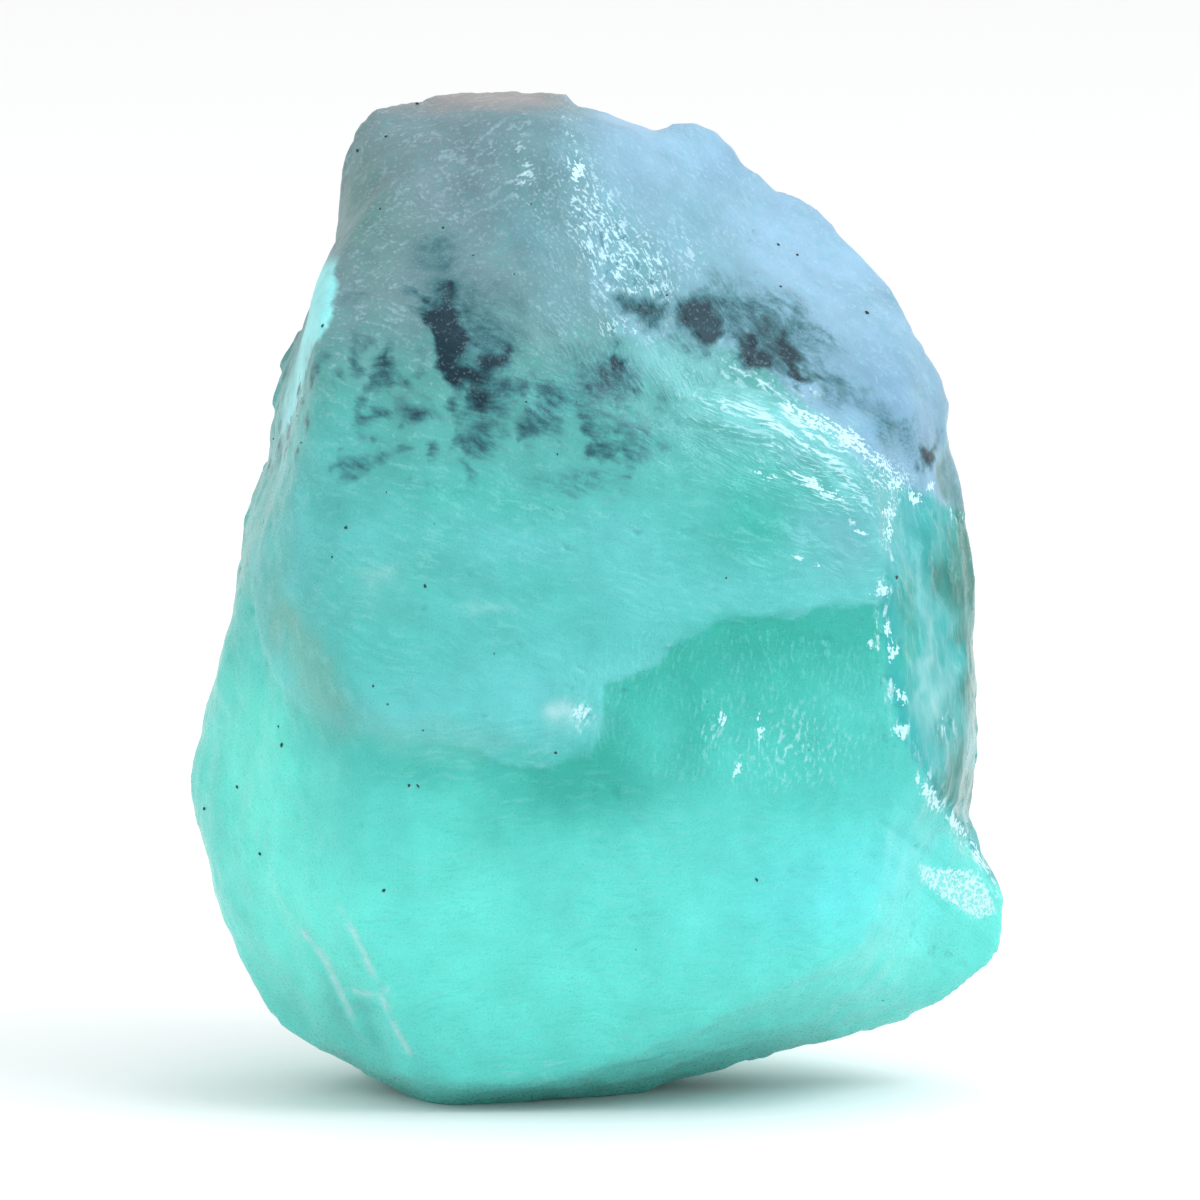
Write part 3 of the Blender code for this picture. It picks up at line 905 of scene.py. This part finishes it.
def smoke_share(places):
    """How dark the smoky inclusions are under each place on the front."""
    warped = places + 0.85 * warp(places, 2.1, 4, 50)
    right, up = places[:, 0], places[:, 1]
    share = strongest(warped, SMOKE)
    side = line_side(places, SMOKE_BORDER) - 0.14 * layered(places, 1.0, 2, 57)
    reach = ramp(up, 11.4, 13.0) * ramp(up, 19.6, 18.0)
    core = ramp(up, 12.4, 14.0) * ramp(up, 18.6, 16.8)
    share = np.maximum(share, ramp(side, -0.10, 0.15) * np.exp(-np.maximum(side - 0.6, 0.0) / 0.8) * core)
    share *= 1.0 - 0.85 * ramp(side, -0.02, -0.25) * ramp(side, -2.4, -1.2) * reach
    blotches = layered(places, 1.5, 3, 53)
    mottle = ramp(up, 6.0, 10.0) * ramp(up, 17.5, 13.0) * ramp(right, 6.5, 2.5)
    share = np.maximum(share, 0.46 * mottle * ramp(blotches, -0.15, 0.75))
    veins = ramp(np.abs(layered(drawn_out(places, -55.0, 2.6, 1.2), 1.0, 3, 59)), 0.34, 0.0)
    share *= 0.74 + 0.22 * ramp(blotches, -0.7, 0.3) + 0.18 * veins
    return share * front_share(places)


def glint_share(places):
    """The places where glints are painted as highlights."""
    warped = places + 0.16 * warp(places, 1.0, 2, 121)
    return np.max([spot(warped, *oval) for oval in GLINTS], axis=0) * front_share(places)


def crest_highlight_share(places):
    """Where highlights are painted on the ripples' crests, in narrow broken arcs."""
    wave = np.sin(flow_phase(places) + CREST_SHIFT)
    high = sum(amount * spot(places, *oval) for *oval, amount in CREST_HIGHLIGHTS)
    return np.clip(0.85 * high * (0.70 + 0.45 * wave), 0.0, 1.0) * flow_share(places)


def flaw_share(places):
    """Light crack lines at the lower left."""
    lines = [np.exp(-(line_distance(places, line) / CRACK_LINE) ** 2) for line in FLAW_LINES]
    return np.max(lines, axis=0) * ramp(layered(places, 1.4, 2, 65), -0.6, 0.2) * front_share(places)


def streak_places(places):
    """Places along, across and under the streaks of each zone, and how strong the streaks are."""
    reach = []
    for right, up, wide, high, *_ in STREAK_ZONES:
        reach.append(((places[:, 0] - right) / wide) ** 2 + ((places[:, 1] - up) / high) ** 2)
    reach = np.sqrt(reach)
    nearest_two = np.sort(reach, axis=0)[:2]
    _, _, _, _, angle, length, width = np.array(STREAK_ZONES)[reach.argmin(axis=0)].T
    warped = places + 0.5 * warp(places, 3.6, 2, 131)
    along, across = turned(warped, angle)
    drawn = np.stack([along / length, across / width, warped[:, 2] / (1.5 * width)], axis=1)
    calm = ramp(nearest_two[1] - nearest_two[0], 0.02, 0.16)
    return drawn, calm * (0.55 + 0.45 * ramp(layered(places, 4.0, 2, 135), -0.4, 0.4))


def write_fields(mesh, core):
    """Everything that the material reads from the mesh, three numbers at a time."""
    points = mesh_points(mesh)
    places = lie_back(points, core)
    sides = zone_sides(places)
    drawn, streak = streak_places(places)
    chip = np.clip(outline_depth(places, BRIGHT_CHIP), -FIELD_LIMIT, FIELD_LIMIT)
    chip = np.where(places[:, 2] > -2.0, chip, -FIELD_LIMIT)
    glassy = np.maximum(flow_share(places), ramp(sides[3], 0.0, 0.4) * front_share(places))
    bend = np.clip(edge_share(mesh, points), -FIELD_LIMIT, FIELD_LIMIT)
    marks = (smoke_share(places), splinter_share(places), crest_highlight_share(places))
    write_field(mesh, "body", body_colours(places, sides))
    write_field(mesh, "drawn", drawn)
    write_field(mesh, "marks", np.stack(marks, axis=1))
    write_field(mesh, "lights", np.stack((glint_share(places), chip, glassy), axis=1))
    write_field(mesh, "finish", np.stack((streak, places[:, 1], bend), axis=1))


class Shading:
    """Short ways to add nodes to one material."""

    def __init__(self, material):
        material.use_nodes = True
        self.tree = material.node_tree
        self.surface = self.tree.nodes["Principled BSDF"]
        self.output = self.tree.nodes["Material Output"]

    def add(self, kind, links=None, **settings):
        """A new node with its settings, and its inputs joined or set."""
        node = self.tree.nodes.new(kind)
        for name, value in settings.items():
            setattr(node, name, value)
        for name, value in (links or {}).items():
            self.join(value, node.inputs[name])
        return node

    def join(self, value, socket):
        """Links an output, or sets a number or colour."""
        if isinstance(value, bpy.types.NodeSocket):
            self.tree.links.new(value, socket)
        elif socket.type == "RGBA":
            socket.default_value = (*value, 1.0)
        else:
            socket.default_value = value

    def field(self, name):
        """Three numbers kept on the mesh, as one vector."""
        return self.add("ShaderNodeAttribute", attribute_name=name).outputs["Vector"]

    def fields(self, name):
        """The same three numbers, apart."""
        return self.add("ShaderNodeSeparateXYZ", {0: self.field(name)}).outputs[:]

    def plus(self, first, second):
        return self.add("ShaderNodeMath", {0: first, 1: second}, operation="ADD").outputs[0]

    def times(self, first, *others):
        for other in others:
            first = self.add("ShaderNodeMath", {0: first, 1: other}, operation="MULTIPLY").outputs[0]
        return first

    def ramp(self, value, low, high, start=0.0, end=1.0):
        """Start below low, end above high, and smooth between them."""
        links = {"Value": value, "From Min": low, "From Max": high, "To Min": start, "To Max": end}
        return self.add("ShaderNodeMapRange", links, interpolation_type="SMOOTHSTEP").outputs[0]

    def noise(self, place, scale, detail, roughness=0.55):
        links = {"Vector": place, "Scale": scale, "Detail": detail, "Roughness": roughness}
        return self.add("ShaderNodeTexNoise", links).outputs["Fac"]

    def paint(self, colour, tint, *shares):
        """The tint over the colour, by the product of its shares."""
        factor = self.times(*shares)
        return self.add("ShaderNodeMix", {0: factor, 6: colour, 7: tint}, data_type="RGBA").outputs[2]

    def blend(self, factor, first, second):
        """A number between two others."""
        return self.add("ShaderNodeMix", {0: factor, 2: first, 3: second}, data_type="FLOAT").outputs[0]


def fluorite_material():
    """Milky, see-through fluorite with soft colours, streaks, smoke, frost and painted highlights on its
    glints and ripple crests.
    """
    material = bpy.data.materials.new("fluorite_stone")
    make = Shading(material)
    smoke, splinter, ripple = make.fields("marks")
    glint, chip, glassy = make.fields("lights")
    streak, height, bend = make.fields("finish")
    place = make.add("ShaderNodeTexCoord").outputs["Object"]
    grain = make.plus(make.noise(place, 4.6 / MM, 1.0, 0.6), -0.5)
    grit = make.times(grain, make.ramp(height, -6.0, 14.0, 0.10, 0.45))
    streaks = make.noise(make.field("drawn"), 1.0, 2.0, 0.62)
    rough_streaks = make.plus(streaks, grit)

    colour = make.field("body")
    lighter = make.paint(VEIL, PALE, make.ramp(height, 8.0, 18.0))
    streaked = make.times(streak, make.ramp(height, -12.0, 8.0, 0.30, 0.40))
    colour = make.paint(colour, lighter, make.ramp(rough_streaks, 0.50, 0.72), streaked)
    colour = make.paint(colour, DEEP, make.ramp(streaks, 0.50, 0.28), streaked, 0.55)

    # Highlights painted on the ripples' crests
    crests = make.ramp(make.plus(streaks, make.times(ripple, 0.16)), 0.58, 0.66)
    colour = make.paint(colour, HIGHLIGHT_WHITE, crests, ripple, 0.85)
    # Splintered places: white splinter marks, partly painted glints in the highlight colour
    strokes = make.ramp(make.plus(rough_streaks, make.times(splinter, 0.08)), 0.57, 0.67)
    splinter_marks_and_glints = make.times(strokes, make.ramp(splinter, 0.05, 0.7))
    colour = make.paint(colour, HIGHLIGHT_WHITE, splinter_marks_and_glints, 0.68)
    # Glints painted as highlights
    flicker = make.plus(make.times(make.plus(streaks, -0.5), 3.2), make.times(grain, 2.2))
    lit = make.ramp(make.plus(glint, flicker), 0.54, 0.80)
    lit = make.times(lit, make.ramp(glint, 0.10, 0.40))
    colour = make.paint(colour, HIGHLIGHT_WHITE, lit, 0.9)
    on_chip = make.ramp(make.plus(chip, make.times(grain, 0.8)), -0.1, 0.2)
    crackle = make.ramp(make.plus(streaks, grain), 0.41, 0.59, 0.20, 0.95)
    colour = make.paint(colour, FROST, on_chip, crackle)

    smoky = make.plus(smoke, make.times(make.plus(rough_streaks, -0.5), 0.66))
    haze = make.times(make.ramp(smoky, 0.0, 0.50), make.ramp(smoke, 0.02, 0.2))
    colour = make.paint(colour, SMOKE_SOFT, haze, 0.92)
    core = make.times(make.ramp(smoky, 0.34, 0.78), make.ramp(smoke, 0.15, 0.4))
    colour = make.paint(colour, SMOKE_COLOUR, core)

    speckle = make.times(make.ramp(grain, 0.06, 0.22), make.ramp(height, 6.0, 16.0, 0.0, 0.10))
    colour = make.paint(colour, FROST, speckle)
    colour = make.paint(colour, FROST, make.ramp(make.plus(bend, grain), 0.3, 1.2), 0.4)
    make.join(colour, make.surface.inputs["Base Color"])

    rough = make.plus(make.ramp(height, 8.0, 19.0, 0.30, 0.46), make.times(grain, 0.25))
    rough = make.blend(make.times(glassy, 0.8), rough, 0.16)
    rough = make.blend(make.times(splinter_marks_and_glints, 0.7), rough, 0.14)
    make.join(rough, make.surface.inputs["Roughness"])

    make.join(make.ramp(smoke, 0.1, 0.6, 0.13, 0.05), make.surface.inputs["Transmission Weight"])
    relief = make.plus(make.times(streaks, streak), grit)
    bump = make.add("ShaderNodeBump", {"Height": relief, "Strength": 0.7, "Distance": BUMP_DEPTH * MM})
    make.join(bump.outputs["Normal"], make.surface.inputs["Normal"])

    surface = make.surface
    surface.inputs["IOR"].default_value = FLUORITE_IOR
    surface.inputs["Specular Tint"].default_value = (*GLOSS_TINT, 1.0)
    surface.subsurface_method = "BURLEY"
    surface.inputs["Subsurface Weight"].default_value = SCATTER_SHARE
    surface.inputs["Subsurface Radius"].default_value = SCATTER_REACH
    surface.inputs["Subsurface Scale"].default_value = SCATTER_DEPTH * MM
    absorption = make.add("ShaderNodeVolumeAbsorption")
    absorption.inputs["Color"].default_value = (*PASSED_LIGHT, 1.0)
    absorption.inputs["Density"].default_value = ABSORPTION_DENSITY
    make.join(absorption.outputs["Volume"], make.output.inputs["Volume"])
    return material


def build_stone():
    """The stone as one piece, and the place of its core."""
    mesh = fine_ball()
    shape_lump(mesh)
    mesh = thin_faces(mesh)
    mesh.name = "rough_fluorite"
    cut_base(mesh)
    core = set_down(mesh)
    mesh.shade_smooth()
    mesh.set_sharp_from_angle(angle=SHARP_ANGLE)
    write_fields(mesh, core)
    mesh.materials.append(fluorite_material())
    stone = bpy.data.objects.new("rough_fluorite", mesh)
    bpy.context.scene.collection.objects.link(stone)
    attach(stone, "root")
    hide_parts("fluorite")
    return stone, core


# Dark specks on the front: right, up
SPECKS = (
    (-9.9, 30.2), (-11.7, 28.2), (-13.4, 27.4), (-12.0, 23.8), (-8.3, 22.7), (-15.3, 16.9),
    (11.4, 21.8), (12.5, 21.2), (11.5, 19.3), (16.6, 17.8), (-13.9, 5.1), (-14.7, 3.4),
    (-9.3, 1.7), (-12.3, -4.1), (-17.9, -6.5), (-17.7, -7.6), (-20.4, -10.1), (-10.2, -9.9),
    (-9.7, -9.9), (-19.0, -14.0), (-1.7, -8.0), (-11.7, -16.0), (-22.4, -11.4), (10.0, -15.4), (18.2, 2.2),
)
# Sizes of the specks and flakes, how many there are, and the depth of their finest relief
SPECK_SIZE = 0.11
STRAY_SPECKS = 90
FLAKE_SIZE = 0.32
FLAKES = 260
GRAIN_RELIEF = 0.03

# How far in front of the core the search for a place on the front begins
OUT_FRONT = 60.0


def grains(name, centres, sizes, flatness, seed):
    """Many small irregular grains joined in one mesh. Centres and sizes are in metres."""
    chooser = np.random.default_rng(seed)
    grain = bmesh.new()
    bmesh.ops.create_icosphere(grain, subdivisions=2, radius=1.0)
    shape = np.array([vertex.co for vertex in grain.verts])
    corners = np.array([[vertex.index for vertex in face.verts] for face in grain.faces])
    grain.free()
    points, faces = [], []
    for number, (centre, size) in enumerate(zip(centres, sizes)):
        bumpy = shape * (1.0 + 0.38 * layered(shape + number * 3.7, 0.8, 2, seed))[:, None]
        axes = np.linalg.qr(chooser.normal(size=(3, 3)))[0]
        stretch = chooser.uniform(0.7, 1.4, size=3) * (1.0, 1.0, flatness)
        points.append((bumpy * stretch) @ axes * size + centre)
        faces.append(corners + number * len(shape))
    mesh = bpy.data.meshes.new(name)
    mesh.from_pydata(np.concatenate(points).tolist(), [], np.concatenate(faces).tolist())
    mesh.shade_smooth()
    piece = bpy.data.objects.new(name, mesh)
    bpy.context.scene.collection.objects.link(piece)
    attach(piece, "root")
    return piece


def dark_material(name, deep, pale):
    """Near-black green grains, mottled and a little glossy."""
    material = bpy.data.materials.new(name)
    make = Shading(material)
    place = make.add("ShaderNodeTexCoord").outputs["Object"]
    mottle = make.noise(place, 4.0 / MM, 3.0)
    colour = make.paint(deep, pale, make.ramp(mottle, 0.4, 0.75))
    make.join(colour, make.surface.inputs["Base Color"])
    make.join(make.ramp(mottle, 0.3, 0.7, 0.35, 0.6), make.surface.inputs["Roughness"])
    bump = make.add("ShaderNodeBump", {"Height": mottle, "Strength": 0.4, "Distance": GRAIN_RELIEF * MM})
    make.join(bump.outputs["Normal"], make.surface.inputs["Normal"])
    return material


def on_front(stone, core, right, up):
    """The stone's surface at a place on the front, and the direction toward the viewer."""
    start = core + Vector(stand_up(np.array([(right, up, OUT_FRONT)]))[0])
    inward = Vector(stand_up(np.array([(0.0, 0.0, -1.0)]))[0]).normalized()
    hit, surface, _, _ = stone.ray_cast(start, inward)
    return (surface, -inward) if hit else None


def add_specks(stone, core):
    """Dark grains that lie half sunk in the surface."""
    found = [on_front(stone, core, right, up) for right, up in SPECKS]
    centres = [surface - toward * SPECK_SIZE * 0.4 * MM for surface, toward in filter(None, found)]
    chooser = np.random.default_rng(17)
    for each in chooser.choice(len(stone.data.vertices), size=STRAY_SPECKS, replace=False):
        vertex = stone.data.vertices[int(each)]
        if vertex.co.z > 1.0 * MM:
            centres.append(vertex.co - vertex.normal * SPECK_SIZE * 0.5 * MM)
    sizes = SPECK_SIZE * MM * np.concatenate(
        [np.full(len(SPECKS), 1.0), chooser.uniform(0.35, 0.85, size=len(centres) - len(SPECKS))]
    )
    piece = grains("dark_specks", np.array(centres), sizes, 0.8, 19)
    piece.data.materials.append(dark_material("speck", linear(14, 30, 30), linear(40, 70, 66)))


def add_flakes(stone, core):
    """Dark flakes sealed under the surface, most of them in the smoky patches."""
    chooser = np.random.default_rng(23)
    centres, sizes = [], []
    weights = np.array([wide * high * dark for _, _, wide, high, _, dark in SMOKE])
    picks = chooser.choice(len(SMOKE), size=FLAKES, p=weights / weights.sum())
    for pick in picks:
        right, up, wide, high, tilt, _ = SMOKE[pick]
        turn = math.radians(tilt)
        across, along = chooser.normal(size=2) * (0.5 * wide, 0.5 * high)
        found = on_front(
            stone,
            core,
            right + across * math.cos(turn) - along * math.sin(turn),
            up + across * math.sin(turn) + along * math.cos(turn),
        )
        depth = chooser.uniform(0.45, 2.6)
        size = FLAKE_SIZE * chooser.uniform(0.4, 1.0)
        if found:
            surface, toward = found
            centres.append(surface - toward * (depth + size) * MM)
            sizes.append(size * MM)
    piece = grains("sealed_flakes", np.array(centres), np.array(sizes), 0.35, 29)
    piece.data.materials.append(dark_material("flake", linear(8, 44, 54), linear(30, 84, 92)))


# Floor and lights: the floor's radius in metres, and each light's name, direction from the stone,
# distance and size in metres, power and colour
FLOOR_RADIUS = 12.0
FLOOR_GREY = 0.92
LIGHTS = (
    ("window", (0.58, -0.36, 0.74), 0.50, 0.26, 1.0, (0.86, 0.94, 1.0)),
    ("overhead", (0.30, 0.10, 1.0), 0.55, 0.40, 0.6, (0.9, 0.96, 1.0)),
)


def build_floor():
    """A wide pale floor."""
    mesh = bpy.data.meshes.new("floor")
    plate = bmesh.new()
    bmesh.ops.create_circle(plate, cap_ends=True, segments=96, radius=FLOOR_RADIUS)
    plate.to_mesh(mesh)
    plate.free()
    floor = bpy.data.objects.new("floor", mesh)
    bpy.context.scene.collection.objects.link(floor)
    material = bpy.data.materials.new("pale_floor")
    make = Shading(material)
    make.join((FLOOR_GREY,) * 3, make.surface.inputs["Base Color"])
    make.surface.inputs["Roughness"].default_value = 0.9
    make.surface.inputs["Specular IOR Level"].default_value = 0.1
    mesh.materials.append(material)


def add_light(aim, name, direction, distance, size, power, colour):
    """A soft square light that looks at the stone and isn't seen by the camera."""
    lamp = bpy.data.lights.new(name, "AREA")
    lamp.energy = power
    lamp.size = size
    lamp.color = colour
    lit = bpy.data.objects.new(name, lamp)
    away = Vector(direction).normalized()
    lit.location = aim + away * distance
    lit.rotation_euler = (-away).to_track_quat("-Z", "Y").to_euler()
    lit.visible_camera = False
    bpy.context.scene.collection.objects.link(lit)


def light_scene(core):
    """White surroundings, a large soft light at the upper right and a weaker one above."""
    world = bpy.data.worlds.new("studio")
    world.use_nodes = True
    background = world.node_tree.nodes["Background"]
    background.inputs["Color"].default_value = (1.0, 1.0, 1.0, 1.0)
    background.inputs["Strength"].default_value = 1.0
    world.cycles.sampling_method = "NONE"
    bpy.context.scene.world = world
    for light in LIGHTS:
        add_light(core, *light)


def limit_bounces():
    """Few bounces are enough, because the stone's inside is milky."""
    cycles = bpy.context.scene.cycles
    cycles.max_bounces = 3
    cycles.diffuse_bounces = 2
    cycles.glossy_bounces = 2
    cycles.transmission_bounces = 3
    cycles.use_light_tree = False


# Camera: how far it is from the core, the frame's width there, and where the frame's middle lies
CAMERA_DISTANCE = 1000.0
FRAME_WIDTH = 71.0
FRAME_MIDDLE = 0.888


def add_camera(core):
    """A long lens that looks at the front, slightly down."""
    camera = bpy.data.cameras.new("camera")
    camera.lens = camera.sensor_width * CAMERA_DISTANCE / FRAME_WIDTH
    viewer = bpy.data.objects.new("camera", camera)
    offset = stand_up(np.array([(FRAME_MIDDLE, FRAME_MIDDLE, CAMERA_DISTANCE)]))[0]
    viewer.location = core + Vector(offset)
    viewer.rotation_euler = (math.pi / 2.0 - LEAN_BACK, 0.0, 0.0)
    bpy.context.scene.collection.objects.link(viewer)
    bpy.context.scene.camera = viewer


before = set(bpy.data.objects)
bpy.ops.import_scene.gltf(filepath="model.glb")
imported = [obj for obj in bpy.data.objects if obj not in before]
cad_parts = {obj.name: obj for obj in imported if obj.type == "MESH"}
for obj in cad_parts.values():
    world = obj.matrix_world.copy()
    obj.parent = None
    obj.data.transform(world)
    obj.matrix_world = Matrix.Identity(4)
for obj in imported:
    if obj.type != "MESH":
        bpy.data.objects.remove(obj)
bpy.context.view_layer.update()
stone, core = build_stone()
add_specks(stone, core)
add_flakes(stone, core)
build_floor()
light_scene(core)
add_camera(core)
limit_bounces()
bpy.context.scene.view_settings.view_transform = "Standard"
